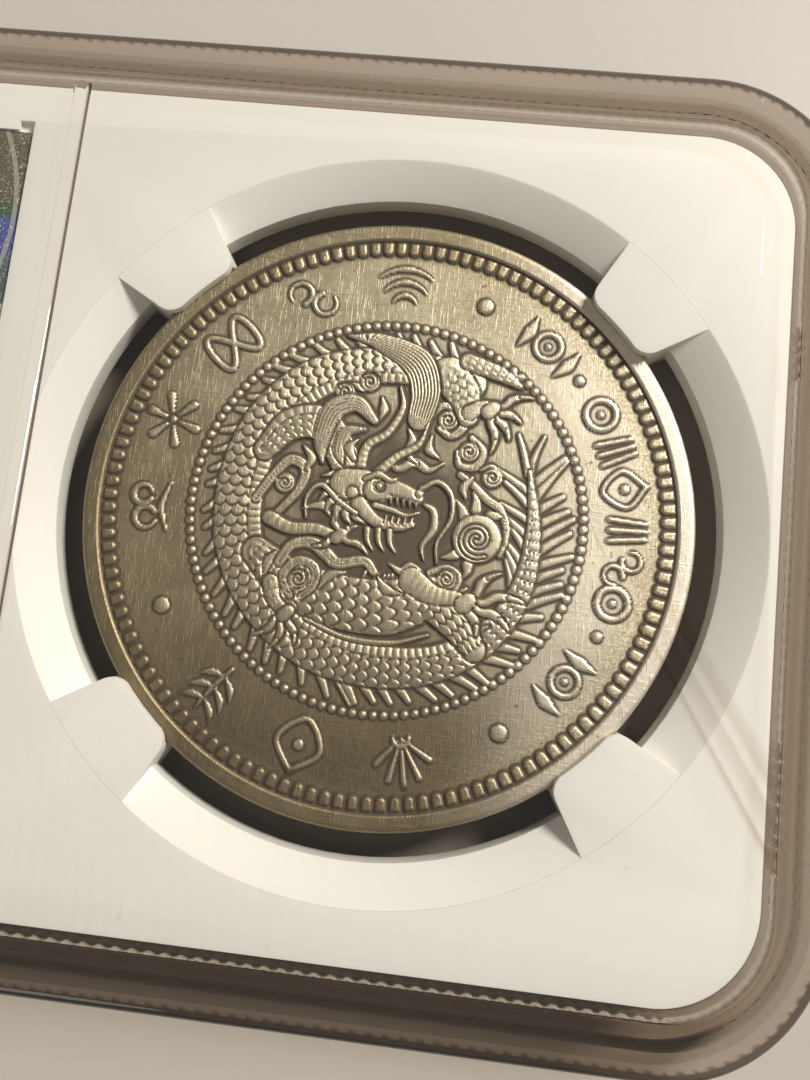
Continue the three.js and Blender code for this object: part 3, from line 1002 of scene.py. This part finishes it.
def drawDragon(relief):
    # a coiled creature among clouds: each line has its points in mm from the coin's centre, its half
    # widths along the way, its lift over the field and how far it rounds up across
    stroke = relief.stroke
    ball = relief.ball
    coil = [(4.3, 8.9), (1.6, 9.5), (-2.2, 9.4), (-5.6, 8.1), (-8.1, 5.2), (-9.2, 1.4), (-8.9, -2.6)]
    coil += [(-6.9, -6.1), (-3.6, -8.5), (0.4, -9.3), (4.2, -8.7), (7.2, -6.6), (8.9, -3.4)]
    coil += [(9.2, 0.2), (8.7, 3.6)]  # the tail's end
    widths = (1.15, 1.05, 1.2, 1.35, 1.45, 1.5, 1.5, 1.45, 1.4, 1.3, 1.1, 0.9, 0.65, 0.42, 0.14)
    spines(relief, coil, 0.02, 0.62, 1.08, (0.8, 1.0), (1.2, 1.5), 0.5, half=0.23)
    spines(relief, coil, 0.62, 0.83, 1.0, (1.0, 1.25), (1.35, 0.8), 0.6, half=0.24)
    spines(relief, coil, 0.84, 0.99, 0.85, (1.7, 2.2), (0.55, 0.2), 0.9, half=0.24)
    spines(relief, coil, 0.85, 0.98, 0.95, (1.3, 1.9), (0.5, 0.2), 1.1, outward=1, half=0.2)
    stroke([(8.7, 3.4), (8.9, 4.6), (9.4, 5.9)], (0.2, 0.2, 0.12), 0.1, 0.07)
    stroke([(8.6, 3.4), (8.2, 4.8), (7.8, 5.9)], (0.2, 0.2, 0.12), 0.1, 0.07)
    stroke(coil, widths, 0.06, 0.13, bodySkin(0.62, 1.9, 0.075), moat=0.2)
    # the loop of the trunk that lies across the lower middle
    trunk = [(-7.7, -3.1), (-5.6, -4.6), (-2.6, -5.6), (0.6, -5.7), (3.2, -4.9), (5.0, -6.2), (6.3, -7.7)]
    spines(relief, trunk, 0.45, 0.95, 0.6, (0.7, 0.8), (1.5, 0.8), 0.3, outward=1)
    stroke(trunk, (0.9, 1.35, 1.65, 1.7, 1.4, 1.0, 0.7), 0.09, 0.13, scales(0.8, 2.2, 0.08), moat=0.22)
    stroke([(-4.2, -6.9), (-1.6, -7.75), (1.2, -7.8), (3.4, -7.1)], (0.1, 0.16, 0.16, 0.08), 0.16, 0.05)
    # broad cloud ribbons with rolled ends
    clouds = [
        ([(-6.2, -3.6), (-5.6, -2.5), (-4.4, -2.2), (-3.5, -2.7), (-2.6, -3.3), (-1.0, -3.0),
          (-0.3, -3.6)], 0.42),
        ([(-5.3, -5.6), (-5.9, -4.5), (-5.1, -3.4), (-4.0, -3.7), (-3.9, -4.8), (-4.6, -5.6)], 0.3),
        ([(-8.2, 0.2), (-7.2, 1.9), (-6.3, 2.9), (-5.3, 2.4), (-5.6, 1.0), (-6.8, -0.6)], 0.36),
        ([(2.2, 6.6), (2.9, 7.3), (3.9, 7.1), (4.3, 6.1), (3.6, 5.4), (2.8, 5.8)], 0.3),
        ([(4.9, 5.4), (5.7, 4.6), (5.3, 3.6), (4.3, 3.6), (4.1, 4.4)], 0.26),
        ([(4.4, 3.0), (5.3, 2.4), (6.2, 1.6), (7.1, 1.0), (7.6, -0.4), (7.3, -1.8)], 0.28),
        ([(3.1, -3.3), (4.1, -2.9), (4.9, -3.4), (4.6, -4.3), (3.7, -4.3)], 0.26),
    ]
    for points, half in clouds:
        stroke(points, (half * 0.7, half, half * 0.6), 0.13, 0.04, moat=0.16, blunt=4.0)
        stroke([(x * 0.995, y * 0.995) for x, y in points], (0.03, 0.07, 0.03), 0.19, 0.0, moat=0.05)
    flames = [
        [(-0.4, 3.4), (0.5, 3.0), (1.5, 3.5), (2.4, 3.1), (3.3, 3.6)],
        [(0.9, 5.6), (1.2, 4.9), (1.0, 4.0), (1.7, 3.4)],
        [(2.4, 5.3), (2.3, 4.4), (3.0, 3.9)],
        [(5.6, 3.4), (6.3, 3.6), (6.7, 2.9), (6.3, 2.4)],
        [(6.6, 9.9), (7.1, 9.6), (7.9, 9.6)],
        [(5.2, 2.9), (4.7, 2.2), (4.9, 1.5)],
        [(-5.2, -0.1), (-4.0, 0.2), (-3.4, -0.4)],
        [(-5.6, 3.9), (-5.0, 3.1), (-5.3, 2.3)],
        [(-3.6, -5.0), (-3.0, -4.1), (-2.0, -3.8)],
        [(0.6, -3.0), (1.4, -3.4), (1.9, -3.0), (2.6, -3.2)],
        [(-1.3, 8.3), (-2.3, 8.0), (-3.1, 8.2)],
        [(-1.0, 7.5), (-0.8, 6.7), (-1.0, 6.0)],
        [(0.0, -3.9), (0.6, -4.6), (1.6, -4.8)],
        [(-7.0, -4.6), (-6.9, -3.6), (-6.5, -3.0)],
    ]
    for points in flames:
        stroke(points, (0.06, 0.24, 0.3, 0.22, 0.05), 0.12, 0.05, moat=0.15)
    puffs = [
        (-1.9, 8.4), (-3.4, 7.6), (6.4, 3.0), (3.3, 6.4),
        (4.8, 4.5), (-4.9, -4.5), (4.2, -3.6), (-6.5, 1.4),
    ]
    for x, y in puffs:
        ball(x, y, 0.62, 0.1, 0.05)
        curl = [polar(0.06 + 0.026 * k, 0.55 * k, x, y) for k in range(17)]
        stroke(curl, (0.05, 0.08, 0.07), 0.17, 0.02, moat=0.1)
    # legs, each a scaled thigh, a shank and a foot
    thigh = [(3.1, 9.3), (4.1, 8.1), (4.5, 6.7)]
    stroke(thigh, (1.2, 1.05, 0.6), 0.15, 0.1, scales(0.62, 2.0, 0.05), moat=0.18)
    stroke([(4.6, 7.0), (5.4, 7.5), (6.0, 7.4)], (0.5, 0.38, 0.34), 0.15, 0.08)
    claw(relief, (5.9, 7.3), [(8.5, 8.3), (7.9, 6.6), (7.2, 5.4), (6.1, 4.5)])
    stroke([(4.2, 10.3), (6.2, 9.7), (7.6, 9.0)], (0.55, 0.5, 0.2), 0.12, 0.08, scales(0.5, 1.4, 0.045))
    stroke([(2.1, -3.9), (3.4, -4.6), (5.0, -4.7)], (0.8, 0.6, 0.4), 0.16, 0.09, rings(0.42, 0.04))
    claw(relief, (5.5, -4.9), [(7.5, -2.9), (9.1, -4.6), (8.3, -6.4), (6.3, -6.9)], 0.34)
    shank = [(-7.2, -0.9), (-5.8, -1.4), (-4.2, -1.3), (-3.0, -1.6)]
    stroke(shank, (0.45, 0.4, 0.36, 0.3), 0.17, 0.07, rings(0.5))
    claw(relief, (-2.7, -1.6), [(-0.8, -2.6), (-1.6, -0.9), (-3.1, -0.1), (-4.3, -2.4)], 0.26)
    thigh = [(-6.6, -4.9), (-6.2, -6.0), (-5.4, -6.6)]
    stroke(thigh, (0.5, 0.42, 0.34), 0.18, 0.08, scales(0.5, 1.3, 0.04))
    claw(relief, (-5.4, -6.7), [(-7.4, -8.2), (-6.2, -8.9), (-4.7, -8.6)], 0.27)
    # neck, mane and head
    neck = [(-8.0, 3.4), (-6.6, 5.1), (-4.7, 5.4), (-3.4, 4.0), (-2.5, 2.3)]
    stroke(neck, (0.7, 1.0, 1.1, 1.0, 0.85), 0.17, 0.09, bodySkin(0.6, 2.0, 0.05), moat=0.18)
    crest = [(1.5, 6.3), (1.7, 8.2), (0.9, 10.0), (-1.6, 11.1), (-3.6, 11.3)]
    stroke(crest, (0.75, 0.95, 1.0, 0.55, 0.08), 0.14, 0.07, strands(9, 0.1), moat=0.15)
    lock = [(-1.3, 5.9), (-2.6, 6.9), (-4.0, 6.3), (-4.5, 4.4), (-4.3, 2.9)]
    stroke(lock, (0.25, 0.55, 0.7, 0.55, 0.1), 0.18, 0.05, strands(6, 0.09), moat=0.15)
    lock = [(-1.9, 5.3), (-3.0, 5.0), (-3.3, 3.8), (-3.0, 2.9)]
    stroke(lock, (0.15, 0.4, 0.45, 0.08), 0.2, 0.05, strands(4, 0.09))
    for k in range(7):
        turn = math.radians(150 + 22 * k)
        foot = polar(0.9, turn, -2.0, 1.3)
        bend = (-2.0 + 1.7 * math.cos(turn - 0.1), 1.3 + 1.6 * math.sin(turn - 0.1))
        tip = (-2.0 + 2.4 * math.cos(turn + 0.15), 1.3 + 2.1 * math.sin(turn + 0.15))
        stroke([foot, bend, tip], (0.34, 0.26, 0.05), 0.15, 0.06)
    horn = [(-1.9, 2.3), (-1.6, 4.2), (-0.4, 5.2), (0.4, 6.9), (0.1, 8.3)]
    stroke(horn, (0.36, 0.3, 0.26, 0.2, 0.06), 0.21, 0.06, rings(0.4))
    horn = [(-0.9, 2.4), (0.3, 3.7), (1.6, 4.6), (2.1, 6.0)]
    stroke(horn, (0.34, 0.28, 0.22, 0.06), 0.21, 0.06, rings(0.4))
    stroke([(-2.3, 3.3), (-2.7, 4.0), (-2.2, 4.6)], (0.15, 0.32, 0.05), 0.22, 0.04)
    stroke([(-2.7, 1.7), (-1.5, 1.7), (-0.5, 1.5)], (0.95, 1.0, 0.8), 0.2, 0.07, moat=0.2)
    stroke([(-0.8, 1.5), (0.6, 1.65), (1.9, 1.25)], (0.7, 0.55, 0.4), 0.22, 0.06, moat=0.14)
    jaw = [(-1.7, 0.5), (-0.5, -0.45), (0.9, -0.7), (1.7, -0.45)]
    stroke(jaw, (0.5, 0.36, 0.26, 0.2), 0.19, 0.06, moat=0.16)
    stroke([(-0.7, 0.55), (0.4, 0.35), (1.3, 0.1), (2.1, 0.35)], (0.2, 0.17, 0.13, 0.06), 0.1, 0.06)
    for k in range(5):
        x = 0.25 + 0.4 * k
        stroke([(x, 1.15 - 0.06 * k), (x + 0.04, 0.72 - 0.02 * k)], (0.12, 0.04), 0.2, 0.03, moat=0.07)
        stroke([(x - 0.2, -0.45), (x - 0.14, -0.05)], (0.11, 0.04), 0.18, 0.03, moat=0.07)
    stroke([(-1.5, 2.1), (-0.7, 2.5), (0.1, 2.2), (0.5, 2.35)], (0.12, 0.2, 0.17, 0.05), 0.26, 0.03)
    ball(-0.55, 1.75, 0.34, 0.22, 0.03)
    ball(-0.55, 1.75, 0.2, 0.25, 0.04)
    ball(2.0, 1.55, 0.26, 0.24, 0.04)
    ball(-2.2, 1.2, 0.36, 0.25, 0.03)
    for k in range(3):
        x = -1.0 + 0.7 * k
        stroke([(x, -1.0), (x + 0.1, -1.7), (x + 0.5, -2.3)], (0.2, 0.16, 0.04), 0.14, 0.05)
    whisker = [(2.1, 1.9), (3.1, 2.4), (4.0, 1.6), (4.1, 0.1), (3.4, -1.4), (3.5, -2.7)]
    stroke(whisker, (0.17, 0.17, 0.16, 0.15, 0.12, 0.05), 0.2, 0.05)
    tongue = [(2.4, 0.9), (3.0, 0.5), (3.1, -0.6), (2.5, -1.7), (2.7, -2.6)]
    stroke(tongue, (0.12, 0.22, 0.24, 0.16, 0.04), 0.15, 0.05)
    whisker = [(-1.8, -0.1), (-3.0, 0.6), (-4.2, 1.5), (-5.0, 0.6), (-4.9, -0.7)]
    stroke(whisker, (0.14, 0.16, 0.16, 0.13, 0.05), 0.22, 0.04)
    # the pearl with its curl and its flames
    licks = [
        (4.9, 0.4, 4.3, 1.4), (5.6, 0.9, 5.3, 2.0), (6.5, 0.6, 7.2, 0.6),
        (4.6, -2.0, 3.7, -2.3), (5.4, -2.6, 5.2, -3.4),
    ]
    for x, y, tipX, tipY in licks:
        bend = ((x + tipX) / 2 + 0.1, (y + tipY) / 2)
        stroke([(x, y), bend, (tipX, tipY)], (0.34, 0.24, 0.05), 0.14, 0.04)
    ball(5.8, -0.9, 1.5, 0.15, 0.11)
    curl = [polar(0.12 + 0.042 * k, 0.42 * k + 1.0, 5.8, -0.95) for k in range(26)]
    stroke(curl, (0.07, 0.09, 0.1), 0.27, 0.02, moat=0.16)


def drawOrnament(relief, kind, angle, size, reach=14.9):
    # a small figure without meaning, its top to the coin's edge
    up = np.array(polar(1.0, math.radians(angle)))
    right = np.array((up[1], -up[0]))
    centre = up * reach

    def mark(points, halves):
        placed = [centre + right * x * size + up * y * size for x, y in points]
        relief.stroke(placed, np.array(halves) * size * 0.78, coinLook["figureHeight"], 0.03, moat=0.1)

    def arc(x, y, radius, first, last, halves, count=9):
        turns = np.radians(np.linspace(first, last, count))
        mark([polar(radius, a, x, y) for a in turns], halves)

    if kind == "flower":
        for k in range(6):
            a = math.radians(60 * k + 30)
            mark([polar(0.3, a), polar(0.98, a)], (0.08, 0.21))
        mark([(0, 0), (0.01, 0)], (0.17, 0.17))
    elif kind == "cloud":
        arc(-0.42, 0.1, 0.42, -60, 250, (0.13, 0.16, 0.08))
        arc(0.48, 0.25, 0.38, 240, -80, (0.13, 0.16, 0.08))
        mark([(-0.95, -0.75), (0.0, -0.5), (0.95, -0.8)], (0.06, 0.17, 0.06))
    elif kind == "spray":
        mark([(0, -1.0), (0.06, 0.0), (0, 0.98)], (0.1, 0.1, 0.06))
        for k in range(3):
            y = -0.6 + 0.55 * k
            for side in (1, -1):
                mark([(side * 0.05, y), (side * 0.5, y + 0.2), (side * 0.82, y + 0.55)], (0.07, 0.17, 0.04))
    elif kind == "knot":
        turns = np.linspace(0, 2 * math.pi, 25)
        mark([(0.95 * math.sin(a), 0.8 * math.sin(2 * a)) for a in turns], (0.14, 0.14))
    elif kind == "waves":
        for k in range(3):
            arc(0, -0.85, 0.5 + 0.55 * k, 155 - 12 * k, 25 + 12 * k, (0.06, 0.15, 0.06))
    elif kind == "lattice":
        mark([(0, 1), (0.85, 0), (0, -1), (-0.85, 0), (0, 1)], (0.13, 0.13))
        mark([(0, 0), (0.01, 0)], (0.26, 0.26))
    elif kind == "fan":
        for k in range(5):
            a = math.radians(30 + 30 * k)
            mark([(0, -0.8), (1.15 * math.cos(a), -0.8 + 1.7 * math.sin(a))], (0.05, 0.15))
        arc(0, -0.8, 0.3, 0, 180, (0.1, 0.1))
    elif kind == "curls":
        arc(-0.4, 0.35, 0.45, -90, 200, (0.14, 0.07))
        arc(0.4, -0.35, 0.45, 90, 380, (0.14, 0.07))
    elif kind == "ring":
        arc(0, 0, 0.7, 0, 360, (0.17, 0.17), 17)
        mark([(0, 0), (0.01, 0)], (0.2, 0.2))
    elif kind == "bars":
        for x in (-0.5, 0, 0.5):
            mark([(x, -0.8), (x * 0.7, 0.8)], (0.14, 0.14))
    elif kind == "leaf":
        mark([(0, -0.95), (0.1, 0.0), (0, 0.95)], (0.08, 0.42, 0.05))
    elif kind == "pellet":
        relief.ball(centre[0], centre[1], size, 0.1, 0.07)


def drawLegend(relief):
    # the ring of ornaments between the beads and the toothed border
    large = (
        ("fan", -79.6), ("lattice", -104.1), ("spray", -128.2), ("cloud", -176.3),
        ("flower", 161.4), ("knot", 137.2), ("curls", 114.4), ("waves", 91.1),
    )
    for kind, angle in large:
        drawOrnament(relief, kind, angle, 1.62)
    for size, angles in ((0.5, (-56.4, -151.9, 70.6)), (0.32, (-24.2, 40.8))):
        for angle in angles:
            drawOrnament(relief, "pellet", angle, size)
    small = (
        ("leaf", -43.1, 1.2), ("ring", -37.1, 1.2), ("leaf", -31.1, 1.2), ("leaf", 58.5, 1.2),
        ("ring", 52.2, 1.2), ("leaf", 45.9, 1.2), ("ring", -15.6, 1.35), ("curls", -7.0, 1.3),
        ("bars", 2.0, 1.35), ("lattice", 12.0, 1.35), ("bars", 21.5, 1.35), ("ring", 31.0, 1.35),
    )
    for kind, angle, size in small:
        drawOrnament(relief, kind, angle, size)


def drawWreath(relief):
    # the other side: two leafy branches round a rosette
    stroke = relief.stroke
    ball = relief.ball
    for sign in (-1, 1):
        turns = np.radians(np.linspace(-84, 62, 15))
        stem = [(sign * 12.6 * math.cos(a), 12.6 * math.sin(a)) for a in turns]
        stroke(stem, (0.28, 0.22, 0.12), 0.12, 0.05)
        for k in range(15):
            for lean, length, offset in ((1, 2.7, 0.0), (-1, 2.5, 0.07), (0, 2.1, 0.12)):
                out = np.array(polar(1.0, math.radians(-76 + 9.6 * k) + offset))
                forward = np.array((-out[1], out[0]))
                foot = out * 12.6
                middle = foot + (out * lean * 0.6 + forward * 0.55) * length * 0.5
                tip = foot + (out * lean * 0.75 + forward) * length * 0.85
                placed = [(sign * p[0], p[1]) for p in (foot, middle, tip)]
                stroke(placed, (0.1, 0.42, 0.04), 0.12, 0.07, rings(5.0))
                stroke(placed, (0.03, 0.04, 0.02), 0.2, 0.0, moat=0.05)
    for k in range(16):
        long = 6.6 if k % 2 == 0 else 5.2
        line = [polar(reach, math.radians(22.5 * k)) for reach in (2.4, long * 0.6, long)]
        stroke(line, (0.4, 0.62, 0.06), 0.12, 0.1)
        stroke(line, (0.05, 0.06, 0.02), 0.24, 0.0, moat=0.05)
    ball(0, 0, 2.5, 0.12, 0.1)
    for k in range(12):
        ball(*polar(1.75, math.radians(30 * k)), 0.3, 0.2, 0.06)
    ball(0, 0, 0.95, 0.22, 0.06)
    for k in range(8):
        drawOrnament(relief, "pellet", 45 * k + 22.5, 0.3, 8.0)
    for sign in (-1, 1):
        bow = [(0, -13.0), (sign * 1.6, -12.0), (sign * 2.6, -13.2), (sign * 1.2, -14.0), (0, -13.2)]
        stroke(bow, (0.25, 0.4, 0.35, 0.3, 0.2), 0.14, 0.06)
        stroke([(0, -13.4), (sign * 1.5, -14.8), (sign * 2.9, -15.6)], (0.3, 0.4, 0.2), 0.12, 0.06)
    ball(0, -13.2, 0.6, 0.18, 0.06)
    drawOrnament(relief, "flower", 90, 1.5, 14.2)


def borderHeight(r, a, beads):
    # rim, toothed border and the ring of beads, in mm over the field
    ease = coinLook["rimRound"]
    height = coinDrop * smooth((r - coinLook["rimInner"] + ease) / (2 * ease))
    pitch = 2 * math.pi / coinLook["denticles"]
    away = np.abs((a / pitch) % 1 - 0.5) * pitch * r
    half = coinLook["denticleShare"] * pitch * r / 2
    inner = coinLook["denticleInner"] + half
    gap = np.where(r < inner, np.hypot(away, r - inner) - half, away - half)
    gap = np.maximum(gap, r - coinLook["denticleOuter"])
    tooth = smooth((0.04 - gap) / 0.12) * coinLook["denticleHeight"]
    height = np.maximum(height, tooth)
    if beads:
        pitch = 2 * math.pi / coinLook["beads"]
        away = ((a / pitch) % 1 - 0.5) * pitch * coinLook["beadCircle"]
        near = np.hypot(away, r - coinLook["beadCircle"]) / coinLook["beadRadius"]
        height = height + coinLook["beadHeight"] * np.sqrt(np.clip(1 - near ** 2, 0, 1))
    return height


def softened(grid, reach):
    # a box average over a square of side 2 reach + 1, done twice
    for _ in range(2):
        for axis in (0, 1):
            padded = np.concatenate((np.zeros_like(np.take(grid, [0], axis)), np.cumsum(grid, axis)), axis)
            count = grid.shape[axis]
            low = np.clip(np.arange(count) - reach, 0, count)
            high = np.clip(np.arange(count) + reach + 1, 0, count)
            width = (high - low).reshape((-1, 1) if axis == 0 else (1, -1))
            grid = (np.take(padded, high, axis) - np.take(padded, low, axis)) / width
    return grid


def faceRings(fine):
    # (radius, spokes) from the middle of a face to its rim
    shares = coinLook["frontSpokes"] if fine else coinLook["backSpokes"]
    result = []
    r = 0.1
    while r < coinRadius - coinLook["edgeBreak"] - 0.03:
        share = next((part for limit, part in shares if r < limit), 1)
        result.append((r, coinLook["spokes"] // share))
        nearBorder = abs(r - 17.45) < 0.75
        if fine:
            r += 0.086 if r < 12.7 else 0.09 if nearBorder else 0.125
        else:
            r += 0.13 if r < 16.7 or nearBorder else 0.2
    return result


def stitched(inner, innerCount, outer, outerCount):
    # faces between two rings of vertices, the outer one having a whole number of times as many
    share = outerCount // innerCount
    faces = []
    for i in range(innerCount):
        following = (i + 1) % innerCount
        for j in range(share):
            a = outer + i * share + j
            b = outer + (i * share + j + 1) % outerCount
            if j < share - 1:
                faces.append((inner + i, a, b))
            else:
                faces.append((inner + i, a, b, inner + following))
    return faces


def faceSheet(relief, front, first):
    # one face of the coin: its vertices in the design's frame, their recess, and the faces
    grid = relief.height
    x, y = np.meshgrid(relief.axis, relief.axis)
    whole = np.maximum(grid, borderHeight(np.hypot(x, y), np.arctan2(y, x), front))
    recess = np.clip((softened(whole, 3) - whole) / 0.04, 0, 1)
    recess = recess + 0.4 * np.clip((softened(whole, 12) - whole) / 0.08, 0, 1)
    points = [np.array([[0.0, 0.0, relief.sample(grid, np.zeros(1), np.zeros(1))[0]]])]
    faces = []
    start = first
    startCount = 1
    for r, spokes in faceRings(front):
        a = 2 * math.pi * np.arange(spokes) / spokes
        x = r * np.cos(a)
        y = r * np.sin(a)
        drawn = relief.sample(grid, x, y)
        height = np.maximum(drawn, borderHeight(np.full(spokes, r), a, front))
        following = start + startCount
        if startCount == 1:
            faces += [(start, following + i, following + (i + 1) % spokes) for i in range(spokes)]
        else:
            faces += stitched(start, startCount, following, spokes)
        points.append(np.stack((x, y, height), 1))
        start = following
        startCount = spokes
    points = np.vstack(points)
    shade = relief.sample(recess, points[:, 0], points[:, 1])
    return points, shade, faces, start


def buildCoin():
    reach = coinRadius + 0.15
    front = Relief(reach)
    drawDragon(front)
    drawLegend(front)
    back = Relief(reach)
    drawWreath(back)
    most = coinLook["spokes"]
    half = (coinHigh.z - coinLow.z) / 2 / mm
    points, shade, faces, lastRing = faceSheet(front, True, 0)
    points[:, 2] += half - coinDrop
    # the reeded edge, from the front's rim to the back's
    a = 2 * math.pi * np.arange(most) / most
    reed = smooth(np.abs(((a * coinLook["reeds"] / (2 * math.pi)) % 1) - 0.5) * 2.6 - 0.3)
    ease = coinLook["edgeBreak"]
    turns = np.linspace(0.0, math.pi / 2, 4)
    rows = [(ease * (1 - math.sin(t)), half - ease * (1 - math.cos(t)), 0.0) for t in turns]
    rows += [(0.0, half - ease - 0.12, 1.0), (0.0, 0.0, 1.0)]
    rows += [(inset, -z, cut) for inset, z, cut in reversed(rows[:-1])]
    start = lastRing
    for inset, z, cut in rows:
        r = coinRadius - inset - coinLook["reedDepth"] * cut * (1 - reed)
        ring = np.stack((r * np.cos(a), r * np.sin(a), np.full(most, z)), 1)
        faces += stitched(start, most, len(points), most)
        start = len(points)
        points = np.vstack((points, ring))
        shade = np.concatenate((shade, cut * 0.6 * (1 - reed)))
    first = len(points)
    rear, rearShade, rearFaces, rearLast = faceSheet(back, False, first)
    rear[:, 1] *= -1  # turned over about the level line
    rear[:, 2] = -(rear[:, 2] + half - coinDrop)
    # the rear sheet's rings run the other way round, so its last ring is met in reverse order
    faces += [tuple(face) for face in rearFaces]
    for i in range(most):
        following = (i + 1) % most
        faces.append((start + i, rearLast + (-i) % most, rearLast + (-following) % most, start + following))
    points = np.vstack((points, rear))
    shade = np.concatenate((shade, rearShade))
    turn = math.radians(coinLook["designTurn"])
    x = points[:, 0] * math.cos(turn) - points[:, 1] * math.sin(turn)
    y = points[:, 0] * math.sin(turn) + points[:, 1] * math.cos(turn)
    placed = np.stack((x, y, points[:, 2]), 1) * mm + np.array(coinMiddle)
    mesh = bpy.data.meshes.new("struckCoin")
    mesh.from_pydata(placed.tolist(), [], faces)
    recess = mesh.attributes.new("recess", "FLOAT", "POINT")
    recess.data.foreach_set("value", shade.astype(np.float32))
    mesh.materials.append(materials["silver"])
    mesh.validate()
    mesh.shade_smooth()
    piece = addObject("struckCoin", mesh)
    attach(piece, "coin")
    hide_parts("coin")
    return piece


struckCoin = buildCoin()
print("coin struck", len(struckCoin.data.polygons))
